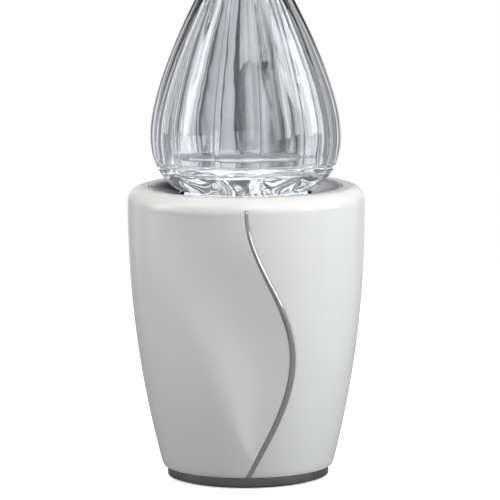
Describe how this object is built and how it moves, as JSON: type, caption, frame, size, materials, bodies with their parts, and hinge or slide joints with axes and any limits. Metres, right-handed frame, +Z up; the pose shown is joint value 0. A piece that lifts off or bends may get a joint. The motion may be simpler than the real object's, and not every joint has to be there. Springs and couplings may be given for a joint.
{
  "type": "tabletop water fountain",
  "caption": "Tapered glazed ceramic body with a steel wave inlay and foot ring, a polished catch dish and a fluted clear glass vessel, over a hidden tank, pump and light.",
  "frame": {"origin": "centre of the resting face, under the foot pad", "axes": "+Z up, -Y towards the front where the wave trim is, +Y towards the jack and the button"},
  "size_m": [0.1598, 0.1604, 0.373],
  "materials": {
    "ceramic": "satin",
    "polished_steel": "polished",
    "plain_steel": "satin",
    "laminated_steel": "matte",
    "clear_glass": "polished",
    "clear_plastic": "gloss",
    "frosted_plastic": "satin",
    "grey_plastic": "satin",
    "white_plastic": "satin",
    "black_plastic": "satin",
    "blue_plastic": "satin",
    "component_plastic": "satin",
    "circuit_board": "satin",
    "led": "gloss",
    "black_rubber": "matte",
    "grey_silicone": "matte",
    "clear_silicone": "satin",
    "black_foam": "matte",
    "copper": "satin",
    "potting_resin": "gloss",
    "ferrite": "satin",
    "plain_ceramic": "satin",
    "black_jacket": "satin",
    "white_jacket": "satin",
    "red_jacket": "satin"
  },
  "bodies": {
    "root": {"body_shell": "ceramic", "wave_trim": "polished_steel", "foot_ring": "polished_steel", "foot_pad": "black_rubber", "base_plate": "black_plastic", "base_screws": "plain_steel", "tank": "grey_plastic", "tank_gasket": "grey_silicone", "dish_seal": "clear_silicone", "light_bridge": "white_plastic", "led_board": "circuit_board", "led_chips": "led", "lens_seal": "clear_silicone", "led_lens": "frosted_plastic", "seat_ring": "clear_silicone", "inlet_nozzle": "clear_plastic", "nozzle_nut": "clear_plastic", "nozzle_seal": "black_rubber", "riser_hose": "clear_silicone", "hose_clamps": "plain_steel", "motor_housing": "black_plastic", "stator_core": "laminated_steel", "stator_coil": "copper", "motor_potting": "potting_resin", "motor_seal": "black_rubber", "rotor_shaft": "plain_ceramic", "shaft_bushes": "black_rubber", "volute": "black_plastic", "filter_sponge": "black_foam", "intake_cover": "black_plastic", "pump_screws": "plain_steel", "suction_cups": "clear_silicone", "pump_lead": "black_jacket", "light_lead": "white_jacket", "lead_glands": "black_rubber", "control_board": "circuit_board", "board_parts": "component_plastic", "board_screws": "plain_steel", "power_jack": "black_plastic", "jack_pin": "plain_steel", "switch_barrel": "black_plastic", "switch_spring": "plain_steel", "panel_nuts": "plain_steel", "panel_wires": "red_jacket"},
    "dish": {"catch_dish": "polished_steel"},
    "vessel": {"glass_vessel": "clear_glass"},
    "rotor": {"rotor_magnet": "ferrite", "impeller": "white_plastic"},
    "dial": {"flow_dial": "blue_plastic"},
    "button": {"switch_button": "polished_steel"}
  },
  "joints": [
    {"name": "dish_lift", "type": "slide", "parent": "root", "child": "dish", "axis": [0, 0, 1], "range_m": [0, 0.03]},
    {"name": "glass_lift", "type": "slide", "parent": "dish", "child": "vessel", "axis": [0, 0, 1], "range_m": [0, 0.06]},
    {"name": "rotor_spin", "type": "hinge", "parent": "root", "child": "rotor", "pos_m": [0, 0.015, 0.0629], "axis": [0, 1, 0], "continuous": true},
    {"name": "flow_dial_turn", "type": "hinge", "parent": "root", "child": "dial", "pos_m": [0, -0.017, 0.0629], "axis": [0, 1, 0], "range_deg": [0, 30]},
    {"name": "switch_press", "type": "slide", "parent": "root", "child": "button", "axis": [0, -1, 0], "range_m": [0, 0.0015], "stiffness_N_per_m": 1200, "springref_m": -0.0008, "deforming": ["switch_spring"]}
  ]
}
